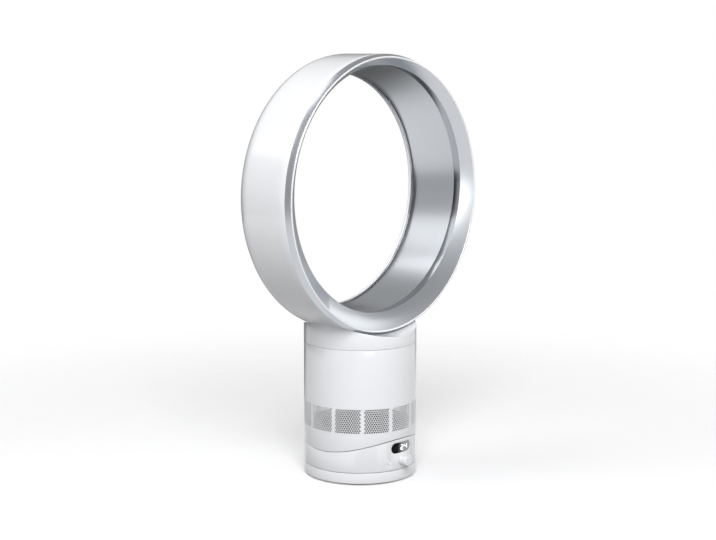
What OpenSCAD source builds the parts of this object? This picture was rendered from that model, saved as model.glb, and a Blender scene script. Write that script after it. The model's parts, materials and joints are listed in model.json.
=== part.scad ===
// Bladeless desk fan: a ring-shaped nozzle on a round base that turns and tilts.
// Millimetres. +Z is up, the ring faces -Y, and the origin is the centre of the foot on the table.

/* [Base] */
// Outer diameter of the round base
base_d = 147; // [142:0.5:152]
// Wall of the plastic shells
shell_t = 2.2; // [1.9:0.1:2.6]
// Thickness of the anti-slip pad under the foot
pad_t = 1.5; // [1.2:0.1:2]
// Height of the seam between the foot and the control housing
foot_seam_z = 15.2; // [14.8:0.1:16.5]
// Running gap at the seam above the foot
swivel_gap = 0.8; // [0.6:0.05:0.95]
// Height of the tilt seam at the left and right sides
tilt_seam_z = 40.5; // [39.5:0.5:42.5]
// Radius of the curved tilt seam
tilt_r = 181; // [175:1:190]
// Running gap at the tilt seam
tilt_gap = 0.8; // [0.6:0.05:0.95]
// Height of the seam between the base and the ring's neck
neck_seam_z = 175; // [171:0.5:180]

/* [Air inlet] */
// Lower edge of the inlet windows
inlet_z = 67; // [66:0.5:70]
// Height of the inlet windows
inlet_h = 32; // [28:0.5:34]
// Number of inlet windows round the casing
inlet_panels = 12; // [10:1:14]
// Width of the solid strip between two windows
inlet_strip = 3.3; // [2.6:0.1:4.5]
// Thickness of the mesh panels
mesh_t = 1.2; // [0.8:0.1:1.6]

/* [Controls] */
// Height of the buttons and the dial above the table
controls_z = 27.2; // [26.5:0.1:28]
// Diameter of the speed dial
dial_d = 12.5; // [11:0.25:14]
// How far the dial stands out of the base
dial_out = 11; // [9:0.5:13]
// Diameter of the two push buttons
button_d = 6.5; // [5.5:0.25:7.5]
// Distance of each button from the middle of the panel
button_x = 20.9; // [19:0.1:23]
// Travel of the push buttons
button_travel = 1.2; // [0.8:0.1:1.5]
// Width of the display window
window_w = 36.3; // [32:0.5:40]
// Height of the display window
window_h = 13.8; // [11:0.2:14]
// Height of the window's centre above the table
window_z = 44.2; // [43.6:0.1:44.8]

/* [Ring] */
// Outer diameter of the ring
ring_od = 356; // [346:1:366]
// Height of the ring's lowest point above the neck seam
neck_rise = 15; // [14.8:0.2:18]
// Distance of the front ridge from the base axis
ring_front = 50.7; // [49:0.1:54]
// Distance of the ring's back from the base axis
ring_rear = 49.4; // [48:0.1:52]
// Length of the silver nose band
nose_len = 8.7; // [7.5:0.1:9.5]
// How much the nose band tapers in radius
nose_taper = 2.2; // [1.6:0.1:2.8]
// Rounding radius of the ring's back
rear_round = 26; // [22:0.5:27]
// How far the guide band lies inside the ring's outer surface
guide_in = 18.7; // [17:0.1:21]
// Length of the guide band
guide_len = 10.1; // [8:0.1:12]
// Distance from the front ridge back to the guide band
bevel_len = 14.4; // [13:0.1:16]
// How far the throat, the ring's narrowest place, lies inside its outer surface
throat_in = 26.8; // [26:0.1:28]
// Height of the guide band's centre above the ring's centre
lift_front = 7.7; // [6:0.1:9]
// Height of the throat's centre above the ring's centre
lift_rear = 1.8; // [1:0.1:2.6]
// Width of the air slot
slot_w = 1.3; // [1:0.05:1.5]

/* [Air mover] */
// Outlet radius of the impeller
impeller_r = 46; // [44:0.5:47]
// Number of impeller blades
impeller_blades = 9; // [7:1:11]
// Outer radius of the motor bucket
bucket_r = 34; // [33:0.5:36]
// Width of the rubber mounts between the motor bucket and the stator
mount_w = 8; // [7:0.5:9.5]
// Radius of the motor shaft
shaft_r = 2.5; // [2:0.25:3]

/* [Motion] */
// Tilt each way, in degrees
tilt_limit = 10; // [8:0.5:11]
// Twist that frees the ring from the base, in degrees
twist_limit = 16; // [12:1:18]

/* [Hidden] */
$fn = 120;
// Facets round the thin rubber cords
cord_fn = 32;
// Degrees from one point to the next along the rounded back of the ring
arc_step_angle = 6;
// Directions of the screws and arms that come in threes
three_ways = [30, 150, 270];

// Cut overrun, clearance between moving pieces, and running clearance of a pin in its bore
over = 0.5;
gap = 0.3;
run_clear = 0.05;

// Colours
white_c = [0.94, 0.94, 0.95];
silver_c = [0.66, 0.69, 0.71];
grey_c = [0.45, 0.46, 0.48];
dark_c = [0.16, 0.16, 0.17];
rubber_c = [0.22, 0.22, 0.23];
steel_c = [0.72, 0.73, 0.75];
copper_c = [0.72, 0.42, 0.22];
board_c = [0.10, 0.36, 0.20];
acetal_c = [0.90, 0.89, 0.84];
foam_c = [0.30, 0.31, 0.33];

// Base shells
base_r = base_d / 2;
bore_r = base_r - shell_t;
edge_bevel = 0.6;
pad_inset = 4.5;
foot_floor_t = 2.5;
foot_floor_z = pad_t + foot_floor_t;
deck_z = foot_seam_z + swivel_gap;
deck_t = 2.5;
deck_top = deck_z + deck_t;

// Tilt seam: a drum whose axis runs along X above the base
tilt_axis_z = tilt_seam_z + tilt_r;
saddle_r = tilt_r + tilt_gap / 2;
cradle_r = tilt_r - tilt_gap / 2;
saddle_t = 3;
cradle_t = 3;
function drum_z(r, y) = tilt_axis_z - sqrt(r * r - y * y);

// Pivot of the foot
post_r = 8;
post_bore_r = 5;
post_flange_r = 15;
post_flange_t = 2;
hub_r = 11.5;
hub_h = 3.5;
retainer_r = 12.5;
retainer_t = 2.5;
post_top = deck_top + hub_h + gap + retainer_t;
rail_inset = 16;
rail_w = 5;
bearing_t = 1.8;

// Screws
screw_head_r = 2.6;
screw_head_t = 1.6;
screw_r = 1.25;
screw_len = 10;
screw_clear = 0.2;
small_head_r = 2;
small_head_t = 1.2;
small_screw_r = 0.9;
small_screw_len = 5;

// Oscillation gears
sun_pitch_r = 24;
sun_teeth = 48;
pinion_teeth = 12;
gear_module = 2 * sun_pitch_r / sun_teeth;
gear_h = 3.5;
sun_z = foot_floor_z + post_flange_t;
gear_centre = gear_module * (sun_teeth + pinion_teeth) / 2;
pinion_shaft_r = 1.5;
osc_motor_r = 11;
osc_motor_h = 13;
bracket_t = 1.5;
bracket_w = 5;

// Power socket at the back of the foot
socket_r = 4.4;
socket_bore_r = 2.8;
socket_bore_len = 9;
socket_len = 13;
socket_z = (foot_floor_z + foot_seam_z) / 2;

// Controls
shaft_hole_clear = 0.35;
dial_shaft_r = 3;
dial_gap = 0.5;
dial_ring_r = 3.15;
dial_ring_w = 0.5;
dial_edge = 0.6;
button_proud = 0.5;
button_flange_w = 1.2;
button_flange_t = 1.2;
button_stem_r = 1.2;
lens_rim_w = 1.6;
lens_rim_t = 1.2;
board_t = 1.6;
board_inset = 17.5;
board_y = base_r - board_inset;
board_w = 60;
board_h = 23;
encoder_w = 12;
encoder_top = 9;
switch_w = 6;
switch_t = 3.4;
display_w = 24;
display_h = 6;
display_t = 7;
display_clear = 1.3;
display_z = drum_z(saddle_r + saddle_t, board_y) - display_h - display_clear;

// Screw bosses that tie the deck, the control housing and the tilt saddle together
boss_inset = 4.2;
boss_r = 4.5;
boss_angle = 17.4;

// Tilt runners: T-shaped keys that hang from the cradle through slots in the saddle
runner_x = 28;
runner_stem_w = 5;
runner_head_w = 12;
runner_head_t = 2.5;
runner_half_angle = 3;
runner_spare_angle = 0.4;
wire_hole_r = 5;

// Inside of the main casing
floor_t = 1.5;
floor_z = drum_z(cradle_r - cradle_t, bore_r) + gap;
foam_inset = 21.3;
foam_r = bore_r - foam_inset;
foam_t = 5;
mesh_rows = 5;
mesh_cols = 5;
mesh_bar = 0.8;
shelf_drop = 4;
shelf_w = 7;
shelf_angle = 12;
shelf_rise = 5;
housing_z = inlet_z + inlet_h + shelf_rise;
flange_t = 2.5;
seal_w = 2.5;

// Impeller housing, impeller and motor, with heights counted from the housing's flange
shroud_t = 2;
blade_gap = 0.8;
blade_t = 1.4;
eye_r = 36;
bell_r = 42;
bell_low = -14;
eye_low = -8;
eye_high = -3;
shroud_high = 14;
shroud_top = 18;
shroud_r = impeller_r + blade_gap + gap;
hub_nose_r = 9;
hub_low = -6;
hub_high = 14;
hub_back_t = 1.2;
bucket_low = 16;
bucket_plate_t = 2.5;
bucket_t = 2;
bearing_r = 8;
bearing_h = 4;
bearing_wall = 2;
bearing_low = bucket_low + bucket_plate_t;
magnet_r = 10;
magnet_gap = 0.6;
magnet_low = 25;
magnet_h = 14;
stator_r = bucket_r - bucket_t - mount_w;
stator_low = 26;
stator_h = 12;
stator_slots = 9;
mount_h = 2.2;
mount_lap = 2;
cap_low = 45.5;
cap_t = 2.5;
vane_count = 11;
vane_t = 1.4;
vane_angle = 28;
diffuser_t = 2;
diffuser_high = 40;
cone_h = 11;
cone_top_r = 15;
board_post_h = 2;
board_post_r = 1.6;
board_in_r = 6;
foam_wall_t = 6;
foam_start = 20;

// Neck: collar, seal and twist lock
collar_down = 12;
collar_up = 11;
collar_t = 5.3;
neck_gap = 0.4;
o_ring_r = 1.1;
o_ring_rise = 2.3;
lug_rise = 5;
lug_h = 2.8;
lug_depth = 2.1;
lug_half_angle = 7;
lug_count = 3;
lug_spare_angle = 0.6;

// Ring: distances counted forwards from the base axis
ring_r = ring_od / 2;
ring_z = neck_seam_z + neck_rise + ring_r;
guide_r = ring_r - guide_in;
throat_r = ring_r - throat_in;
nose_seam = ring_front - nose_len;
ridge_r = ring_r - nose_taper;
guide_front = ring_front - bevel_len;
guide_back = guide_front - guide_len;
skin_t = 2;
seam_tongue = 4;
tongue_t = 2;
ridge_w = 1.2;
lip_t = 1.5;
lip_len = 4.2;
lip_step = 1;
lip_r = throat_r + lip_step;
lip_front = lip_len - ring_rear;
tip_gap = 1;
tip_t = 0.8;
tip_f = shell_t + tip_gap - ring_rear;
coanda_len = 9.7;
coanda_rise = lip_step + lip_t + slot_w;
coanda_r = (coanda_len * coanda_len + coanda_rise * coanda_rise) / (2 * coanda_rise);
coanda_steps = 8;
throat_f = lip_front + coanda_len;
ledge_gap = 0.3;
duct_r = 34;
duct_x = 20;
duct_top = 15;
spacer_count = 12;
spacer_angle = 1.6;
gasket_t = 1;
facets = 144;
sheet = 0.01;
join_step = 0.15;
// Radius of the curved lip over which the air leaves the slot
function coanda(f) =
    throat_r + coanda_r - sqrt(coanda_r * coanda_r - (throat_f - f) * (throat_f - f));

// General shapes

// A round wall between two heights
module tube(r_out, r_in, low, high) {
    translate([0, 0, low]) difference() {
        cylinder(r = r_out, h = high - low);
        translate([0, 0, -over]) cylinder(r = r_in, h = high - low + 2 * over);
    }
}

// A disc or rod between two heights
module rod(r, low, high) {
    translate([0, 0, low]) cylinder(r = r, h = high - low);
}

// A sector of a round wall, centred on an angle counted from +X
module sector(r_out, r_in, low, high, middle_a, sweep_a) {
    translate([0, 0, low]) rotate([0, 0, middle_a - sweep_a / 2])
        rotate_extrude(angle = sweep_a) translate([r_in, 0]) square([r_out - r_in, high - low]);
}

// A screw with its head on z = 0 and its shank going down
module screw(head_r, head_t, shank_r, len) {
    cylinder(r = head_r, h = head_t);
    translate([0, 0, -len]) cylinder(r = shank_r, h = len);
}

// Places its children on the front of the base, with local z pointing forwards
module on_front(x, z) {
    translate([x, 0, z]) rotate([90, 0, 0]) children();
}

// Places its children in the ring's own frame: z forwards, y up, origin on the ring's axis
module ring_frame(lift = 0) {
    translate([0, 0, ring_z + lift]) rotate([90, 0, 0]) children();
}

// The solid drum whose surface is the tilt seam
module drum(r) {
    translate([-base_r - over, 0, tilt_axis_z]) rotate([0, 90, 0]) cylinder(r = r, h = base_d + 2 * over);
}

// A curved bar that follows the tilt seam
module drum_arc(r_out, r_in, half_a, x, w) {
    translate([x, 0, tilt_axis_z]) rotate([0, 90, 0]) rotate([0, 0, -half_a])
        rotate_extrude(angle = 2 * half_a) translate([r_in, -w / 2]) square([r_out - r_in, w]);
}

// A cone between two circles whose centres are lifted by different heights, in the ring's frame;
// it may run on past its first circle to the back and past its second one to the front
module lifted_cone(r0, f0, lift0, r1, f1, lift1, back = 0, front = 0) {
    r_slope = (r1 - r0) / (f1 - f0);
    lift_slope = (lift1 - lift0) / (f1 - f0);
    hull() {
        translate([0, lift0 - lift_slope * back, f0 - back])
            cylinder(r = r0 - r_slope * back, h = sheet, $fn = facets);
        translate([0, lift1 + lift_slope * front, f1 + front - sheet])
            cylinder(r = r1 + r_slope * front, h = sheet, $fn = facets);
    }
}

// Places of the four bosses that hold the control housing together
module at_bosses() {
    for (a = [boss_angle, 180 - boss_angle, 180 + boss_angle, -boss_angle])
        rotate([0, 0, a]) translate([bore_r - boss_inset, 0, 0]) children();
}

// Foot

pivot_screw_r = (post_r + post_bore_r) / 2;
module at_pivot_screws() {
    for (a = three_ways) rotate([0, 0, a]) translate([pivot_screw_r, 0, 0]) children();
}

module foot_pad() {
    color(rubber_c) rod(base_r - pad_inset, 0, pad_t);
}

rail_r = base_r - rail_inset;
rail_top = deck_z - gap - bearing_t;
module foot_plate() {
    color(white_c) difference() {
        rotate_extrude() polygon([
            [0, pad_t], [base_r - edge_bevel, pad_t], [base_r, pad_t + edge_bevel],
            [base_r, foot_seam_z], [bore_r, foot_seam_z], [bore_r, foot_floor_z],
            [rail_r + rail_w / 2, foot_floor_z], [rail_r + rail_w / 2, rail_top],
            [rail_r - rail_w / 2, rail_top], [rail_r - rail_w / 2, foot_floor_z], [0, foot_floor_z]
        ]);
        at_pivot_screws() rod(screw_r + screw_clear, pad_t - over, foot_floor_z + over);
        at_pivot_screws() rod(screw_head_r, pad_t - over, pad_t + screw_head_t);
        translate([0, rail_r + rail_w / 2 + gap, socket_z]) rotate([-90, 0, 0])
            cylinder(r = socket_r, h = base_r);
    }
}

module power_socket() {
    color(dark_c) translate([0, base_r - gap, socket_z]) rotate([90, 0, 0]) difference() {
        cylinder(r = socket_r, h = socket_len);
        translate([0, 0, -over]) cylinder(r = socket_bore_r, h = socket_bore_len + over);
    }
}

module pivot_post() {
    color(grey_c) difference() {
        union() {
            rod(post_flange_r, foot_floor_z, sun_z);
            rod(post_r, foot_floor_z, post_top);
        }
        rod(post_bore_r - 2 * screw_r, foot_floor_z - over, post_top + over);
        at_pivot_screws() rod(screw_r, foot_floor_z - over, pad_t + screw_head_t + screw_len);
    }
}

module pivot_screws() {
    color(steel_c) at_pivot_screws() translate([0, 0, pad_t + screw_head_t]) rotate([180, 0, 0])
        screw(screw_head_r, screw_head_t, screw_r, screw_len);
}

// Gear teeth: heights as shares of the module, half widths as shares of the pitch angle
addendum_share = 0.85;
dedendum_share = 1.25;
tip_share = 0.13;
root_share = 0.3;
module gear(teeth, hole_r) {
    pitch_a = 360 / teeth;
    tip_r = gear_module * (teeth / 2 + addendum_share);
    root_r = gear_module * (teeth / 2 - dedendum_share);
    linear_extrude(gear_h) difference() {
        polygon([for (i = [0:teeth - 1], k = [[-root_share, root_r], [-tip_share, tip_r],
            [tip_share, tip_r], [root_share, root_r]])
            k[1] * [cos((i + k[0]) * pitch_a), sin((i + k[0]) * pitch_a)]]);
        circle(r = hole_r);
    }
}

module sun_gear() {
    color(acetal_c) translate([0, 0, sun_z]) gear(sun_teeth, post_r);
}

module bearing_ring() {
    color(acetal_c) tube(rail_r + rail_w / 2, rail_r - rail_w / 2, rail_top, deck_z - gap);
}

module pivot_retainer() {
    color(steel_c) tube(retainer_r, post_r, post_top - retainer_t, post_top);
}

// Turning control housing

module swivel_deck() {
    color(grey_c) difference() {
        union() {
            rod(bore_r, deck_z, deck_top);
            rod(hub_r, deck_z, deck_top + hub_h);
        }
        rod(post_r + run_clear, deck_z - over, deck_top + hub_h + over);
        at_bosses() rod(screw_r + screw_clear, deck_z - over, deck_top + over);
        at_bosses() rod(screw_head_r + screw_clear, deck_z - over, deck_z + screw_head_t);
        translate([gear_centre, 0, 0]) rod(pinion_shaft_r + gap, deck_z - over, deck_top + over);
    }
}

module pill(w, h, depth) {
    for (s = [-1, 1]) translate([s * (w - h) / 2, 0, 0]) cylinder(r = h / 2, h = depth);
    translate([-(w - h) / 2, -h / 2, 0]) cube([w - h, h, depth]);
}

saddle_screw_z = drum_z(saddle_r, (bore_r - boss_inset) * sin(boss_angle) - screw_head_r) - screw_head_t;
module control_housing() {
    color(white_c) difference() {
        union() {
            tube(base_r, bore_r, deck_z, drum_z(saddle_r, base_r) + over);
            intersection() {
                at_bosses() rod(boss_r, deck_top, saddle_screw_z + saddle_t);
                rod(bore_r + shell_t / 2, deck_top, saddle_screw_z + saddle_t);
            }
        }
        drum(saddle_r);
        intersection() {
            drum(saddle_r + saddle_t);
            rod(bore_r, deck_z, tilt_axis_z);
        }
        at_bosses() rod(screw_r, deck_top - over, tilt_axis_z);
        on_front(0, window_z) translate([0, 0, board_y]) pill(window_w, window_h, base_r);
        on_front(0, controls_z) translate([0, 0, board_y])
            cylinder(r = dial_shaft_r + shaft_hole_clear, h = base_r);
        for (s = [-1, 1]) on_front(s * button_x, controls_z) translate([0, 0, board_y])
            cylinder(r = button_d / 2 + gap, h = base_r);
    }
}

module deck_screws() {
    color(steel_c) at_bosses() translate([0, 0, deck_z + screw_head_t]) rotate([180, 0, 0])
        screw(screw_head_r, screw_head_t, screw_r, screw_len);
}

module oscillation_motor() {
    color(steel_c) translate([gear_centre, 0, 0]) difference() {
        rod(osc_motor_r, deck_top, deck_top + osc_motor_h);
        rod(pinion_shaft_r + run_clear, deck_top - over, deck_top + osc_motor_h / 2);
    }
}

module motor_bracket() {
    color(grey_c) translate([gear_centre, 0, 0]) {
        tube(osc_motor_r + bracket_w, osc_motor_r, deck_top, deck_top + bracket_t);
        tube(osc_motor_r + bracket_t, osc_motor_r, deck_top, deck_top + osc_motor_h / 2);
    }
}

module drive_pinion() {
    color(acetal_c) translate([gear_centre, 0, 0]) {
        translate([0, 0, sun_z]) rotate([0, 0, 180 / pinion_teeth]) gear(pinion_teeth, pinion_shaft_r);
        rod(pinion_shaft_r, sun_z, deck_top + osc_motor_h / 2 - gap);
    }
}

module control_board() {
    color(board_c) translate([-board_w / 2, -board_y - board_t, deck_top])
        cube([board_w, board_t, board_h]);
}

module display_module() {
    color(dark_c) translate([-display_w / 2, -board_y - board_t - display_t, display_z])
        cube([display_w, display_t, display_h]);
}

module display_window() {
    color(dark_c) {
        intersection() {
            on_front(0, window_z) translate([0, 0, board_y]) pill(window_w, window_h, base_r);
            tube(base_r - gap / 2, bore_r, deck_z, tilt_axis_z);
        }
        difference() {
            intersection() {
                on_front(0, window_z) translate([0, 0, board_y])
                    pill(window_w + 2 * lens_rim_w, window_h + 2 * lens_rim_w, base_r);
                tube(bore_r, bore_r - lens_rim_t, deck_z, tilt_axis_z);
            }
            drum(saddle_r + saddle_t + gap);
        }
    }
}

module dial_encoder() {
    color(dark_c) difference() {
        translate([-encoder_w / 2, -board_y - board_t - encoder_top, controls_z - encoder_w / 2])
            cube([encoder_w, encoder_top, encoder_w]);
        on_front(0, controls_z) translate([0, 0, board_y + 2 * board_t])
            cylinder(r = dial_shaft_r + run_clear, h = base_r);
    }
}

module tact_switches() {
    color(dark_c) for (s = [-1, 1])
        translate([s * button_x - switch_w / 2, -board_y - board_t - switch_t, controls_z - switch_w / 2])
            cube([switch_w, switch_t, switch_w]);
}

module speed_dial() {
    color(white_c) on_front(0, controls_z) difference() {
        union() {
            rod(dial_d / 2, base_r + dial_gap, base_r + dial_out - dial_edge);
            translate([0, 0, base_r + dial_out - dial_edge])
                cylinder(r1 = dial_d / 2, r2 = dial_d / 2 - dial_edge, h = dial_edge);
            rod(dial_shaft_r, board_y + 2 * board_t + gap, base_r + dial_gap + over);
        }
        tube(dial_ring_r + dial_ring_w / 2, dial_ring_r - dial_ring_w / 2,
            base_r + dial_out - dial_edge, base_r + dial_out + over);
    }
}

// Push button: its cap follows the round wall and its flange keeps it behind the wall
flange_out_r = button_d / 2 + button_flange_w;
flange_front = sqrt(pow(bore_r, 2) - pow(button_x + flange_out_r, 2)) - gap;
module push_button(side) {
    intersection() {
        on_front(side * button_x, controls_z) rod(button_d / 2, flange_front - button_flange_t, base_d);
        rod(base_r + button_proud, deck_z, tilt_axis_z);
    }
    on_front(side * button_x, controls_z) {
        rod(flange_out_r, flange_front - button_flange_t, flange_front);
        rod(button_stem_r, board_y + board_t + switch_t + button_travel + gap, flange_front);
    }
}

module power_button() {
    color(white_c) push_button(-1);
}

module oscillation_button() {
    color(white_c) push_button(1);
}

wire_half_angle = asin(wire_hole_r / cradle_r) + tilt_limit + runner_spare_angle;
runner_slot_angle = runner_half_angle + tilt_limit + runner_spare_angle;
module tilt_saddle() {
    color(white_c) difference() {
        intersection() {
            rod(bore_r, deck_top, tilt_axis_z);
            difference() {
                drum(saddle_r + saddle_t);
                drum(saddle_r);
            }
        }
        for (s = [-1, 1]) drum_arc(saddle_r + saddle_t + over, saddle_r - over, runner_slot_angle,
            s * runner_x, runner_stem_w + 2 * gap);
        drum_arc(saddle_r + saddle_t + over, saddle_r - over, wire_half_angle, 0, 2 * wire_hole_r);
        at_bosses() rod(screw_r + screw_clear, deck_top, tilt_axis_z);
        at_bosses() rod(screw_head_r + screw_clear, saddle_screw_z, tilt_axis_z);
    }
}

module saddle_screws() {
    color(steel_c) at_bosses() translate([0, 0, saddle_screw_z])
        screw(screw_head_r, screw_head_t, screw_r, screw_len);
}

// Tilting body

runner_head_r = saddle_r + saddle_t + gap;
module tilt_runners() {
    color(acetal_c) for (s = [-1, 1]) difference() {
        union() {
            drum_arc(runner_head_r + over, cradle_r, runner_half_angle, s * runner_x, runner_stem_w);
            drum_arc(runner_head_r + runner_head_t, runner_head_r, runner_half_angle, s * runner_x,
                runner_head_w);
        }
        translate([s * runner_x, 0, 0])
            rod(screw_r, tilt_axis_z - runner_head_r, tilt_axis_z - cradle_r + cradle_t);
    }
}

module runner_screws() {
    color(steel_c) for (s = [-1, 1])
        translate([s * runner_x, 0, drum_z(cradle_r - cradle_t, screw_head_r)])
            screw(screw_head_r, screw_head_t, screw_r, cradle_t + tilt_gap + saddle_t);
}

module tilt_cradle() {
    color(white_c) difference() {
        intersection() {
            rod(bore_r, deck_top, floor_z);
            difference() {
                drum(cradle_r);
                drum(cradle_r - cradle_t);
            }
        }
        for (s = [-1, 1]) translate([s * runner_x, 0, 0])
            rod(screw_r + screw_clear, deck_top, floor_z);
        rod(wire_hole_r, deck_top, floor_z);
    }
}

strip_angle = inlet_strip / base_r * 180 / PI;
window_angle = 360 / inlet_panels - strip_angle;
module at_windows() {
    for (i = [0:inlet_panels - 1]) rotate([0, 0, -90 + i * 360 / inlet_panels]) children();
}

module at_shelves() {
    for (a = three_ways) rotate([0, 0, a]) children();
}
housing_screw_r = bore_r - seal_w - screw_head_r - gap;

module main_casing() {
    color(white_c) difference() {
        union() {
            intersection() {
                tube(base_r, bore_r, tilt_seam_z, neck_seam_z);
                drum(cradle_r);
            }
            at_shelves() sector(bore_r + shell_t / 2, bore_r - shelf_w, housing_z - shelf_drop,
                housing_z, 0, shelf_angle);
        }
        at_windows() sector(base_r + over, bore_r - over, inlet_z, inlet_z + inlet_h, 0, window_angle);
        at_shelves() translate([housing_screw_r, 0, 0])
            rod(screw_r, housing_z - shelf_drop - over, housing_z + over);
    }
}

cell_angle = window_angle / mesh_cols;
cell_h = inlet_h / mesh_rows;
bar_angle = mesh_bar / base_r * 180 / PI;
module inlet_mesh() {
    color(grey_c) difference() {
        at_windows() sector(base_r, base_r - mesh_t, inlet_z, inlet_z + inlet_h, 0, window_angle);
        at_windows() for (c = [0:mesh_cols - 1], r = [0:mesh_rows - 1])
            sector(base_r + over, base_r - mesh_t - over, inlet_z + r * cell_h + mesh_bar / 2,
                inlet_z + (r + 1) * cell_h - mesh_bar / 2, (c - (mesh_cols - 1) / 2) * cell_angle,
                cell_angle - bar_angle);
    }
}

module floor_plate() {
    color(grey_c) difference() {
        rod(bore_r, floor_z, floor_z + floor_t);
        translate([0, foam_r + 2 * wire_hole_r, 0])
            rod(wire_hole_r, floor_z - over, floor_z + floor_t + over);
    }
}

module intake_foam() {
    color(foam_c) rod(foam_r, floor_z + floor_t, floor_z + floor_t + foam_t);
}

// Air passage through the impeller housing, heights counted from its flange
module air_passage() {
    translate([0, 0, housing_z]) rotate_extrude() polygon([
        [0, bell_low - over], [bell_r, bell_low - over], [bell_r, bell_low], [eye_r, eye_low],
        [eye_r, eye_high], [shroud_r, shroud_high], [shroud_r, shroud_top + over],
        [0, shroud_top + over]
    ]);
}

module impeller_housing() {
    color(dark_c) difference() {
        translate([0, 0, housing_z]) rotate_extrude() polygon([
            [0, bell_low], [bell_r + shroud_t, bell_low], [eye_r + shroud_t, eye_low],
            [eye_r + shroud_t, 0], [bore_r - seal_w, 0], [bore_r - seal_w, flange_t],
            [eye_r + 2 * shroud_t, flange_t], [shroud_r + shroud_t, shroud_high],
            [shroud_r + shroud_t, shroud_top], [0, shroud_top]
        ]);
        air_passage();
        at_shelves() translate([housing_screw_r, 0, housing_z - over])
            cylinder(r = screw_r + screw_clear, h = flange_t + 2 * over);
    }
}

module housing_seal() {
    color(rubber_c) tube(bore_r, bore_r - seal_w, housing_z, housing_z + flange_t);
}

module housing_screws() {
    color(steel_c) at_shelves() translate([housing_screw_r, 0, housing_z + flange_t])
        screw(screw_head_r, screw_head_t, screw_r, flange_t + shelf_drop);
}

// Guide vanes round the motor; they straighten the air behind the impeller
module diffuser() {
    translate([0, 0, housing_z]) color(dark_c) {
        tube(bucket_r + diffuser_t, bucket_r, bucket_low + bucket_plate_t, diffuser_high);
        tube(shroud_r + shroud_t, shroud_r, shroud_top, diffuser_high);
        intersection() {
            for (i = [0:vane_count - 1]) rotate([0, 0, i * 360 / vane_count])
                translate([bucket_r, 0, (shroud_top + diffuser_high) / 2]) rotate([vane_angle, 0, 0])
                    translate([0, -vane_t / 2, -diffuser_high / 2])
                        cube([shroud_r - bucket_r + shroud_t, vane_t, diffuser_high]);
            tube(shroud_r + shroud_t / 2, bucket_r + diffuser_t / 2, shroud_top + shroud_t,
                diffuser_high - shroud_t);
        }
    }
}

module motor_bucket() {
    color(dark_c) translate([0, 0, housing_z]) {
        tube(bucket_r, bucket_r - bucket_t, bucket_low, cap_low);
        tube(bucket_r, shaft_r + bearing_wall, bucket_low, bearing_low);
        tube(bearing_r + bearing_wall, bearing_r, bucket_low, bearing_low + bearing_h);
    }
}

module motor_bearings() {
    color(steel_c) translate([0, 0, housing_z]) {
        tube(bearing_r, shaft_r + run_clear, bearing_low, bearing_low + bearing_h);
        tube(bearing_r, shaft_r + run_clear, cap_low - bearing_h, cap_low);
    }
}

module motor_mounts() {
    color(rubber_c) translate([0, 0, housing_z]) {
        tube(bucket_r - bucket_t, stator_r - mount_lap, stator_low - mount_h, stator_low);
        tube(bucket_r - bucket_t, stator_r - mount_lap, stator_low + stator_h,
            stator_low + stator_h + mount_h);
    }
}

slot_r = (stator_r + magnet_r) / 2;
module motor_stator() {
    color(copper_c) translate([0, 0, housing_z]) difference() {
        tube(stator_r, magnet_r + magnet_gap, stator_low, stator_low + stator_h);
        for (i = [0:stator_slots - 1]) rotate([0, 0, i * 360 / stator_slots])
            translate([slot_r, 0, 0]) rod(screw_head_r, stator_low - over, stator_low + stator_h + over);
    }
}

module bearing_cap() {
    color(dark_c) translate([0, 0, housing_z]) {
        tube(bucket_r, shaft_r + bearing_wall, cap_low, cap_low + cap_t);
        tube(bearing_r + bearing_wall, bearing_r, cap_low - bearing_h, cap_low + cap_t);
        for (a = three_ways) rotate([0, 0, a]) translate([(bucket_r + bearing_r) / 2, 0, 0])
            rod(board_post_r, cap_low, cap_low + cap_t + board_post_h);
    }
}

module drive_board() {
    color(board_c) translate([0, 0, housing_z])
        tube(bucket_r - 2 * bucket_t, board_in_r, cap_low + cap_t + board_post_h,
            cap_low + cap_t + board_post_h + board_t);
}

module tail_cone() {
    color(dark_c) translate([0, 0, housing_z + cap_low + cap_t]) rotate_extrude() polygon([
        [bucket_r, 0], [bucket_r, board_post_h + 2 * board_t], [cone_top_r, cone_h], [0, cone_h],
        [0, cone_h - bucket_t], [cone_top_r - bucket_t, cone_h - bucket_t],
        [bucket_r - bucket_t, board_post_h + 2 * board_t - bucket_t / 2], [bucket_r - bucket_t, 0]
    ]);
}

module outlet_foam() {
    color(foam_c) tube(bore_r, bore_r - foam_wall_t, housing_z + foam_start, neck_seam_z - collar_down);
}

// Neck collar with the grooves of the seal and of the twist lock
collar_in_r = bore_r - collar_t;
collar_out_r = bore_r - neck_gap;
lug_z = neck_seam_z + lug_rise;
groove_r = bore_r - lug_depth - gap;
lug_sweep_angle = 2 * (lug_half_angle + lug_spare_angle);
collar_screw_z = neck_seam_z - collar_down / 2;
collar_seat = sqrt(pow(collar_in_r, 2) - pow(small_head_r, 2));
module at_lugs() {
    for (i = [0:lug_count - 1]) rotate([0, 0, i * 360 / lug_count]) children();
}
module neck_collar() {
    color(grey_c) difference() {
        union() {
            tube(bore_r, collar_in_r, neck_seam_z - collar_down, neck_seam_z);
            tube(collar_out_r, collar_in_r, neck_seam_z - over, neck_seam_z + collar_up);
        }
        tube(base_r, bore_r - gap - 2 * o_ring_r, neck_seam_z + o_ring_rise - o_ring_r,
            neck_seam_z + o_ring_rise + o_ring_r);
        at_lugs() sector(base_r, groove_r, lug_z - gap, lug_z + lug_h + gap, twist_limit / 2,
            lug_sweep_angle + twist_limit);
        at_lugs() sector(base_r, groove_r + join_step, lug_z, neck_seam_z + collar_up + over,
            twist_limit, lug_sweep_angle - lug_spare_angle);
        at_lugs() translate([0, 0, collar_screw_z]) rotate([0, 90, 0])
            rod(small_screw_r, collar_in_r - over, base_r);
    }
}

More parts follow.
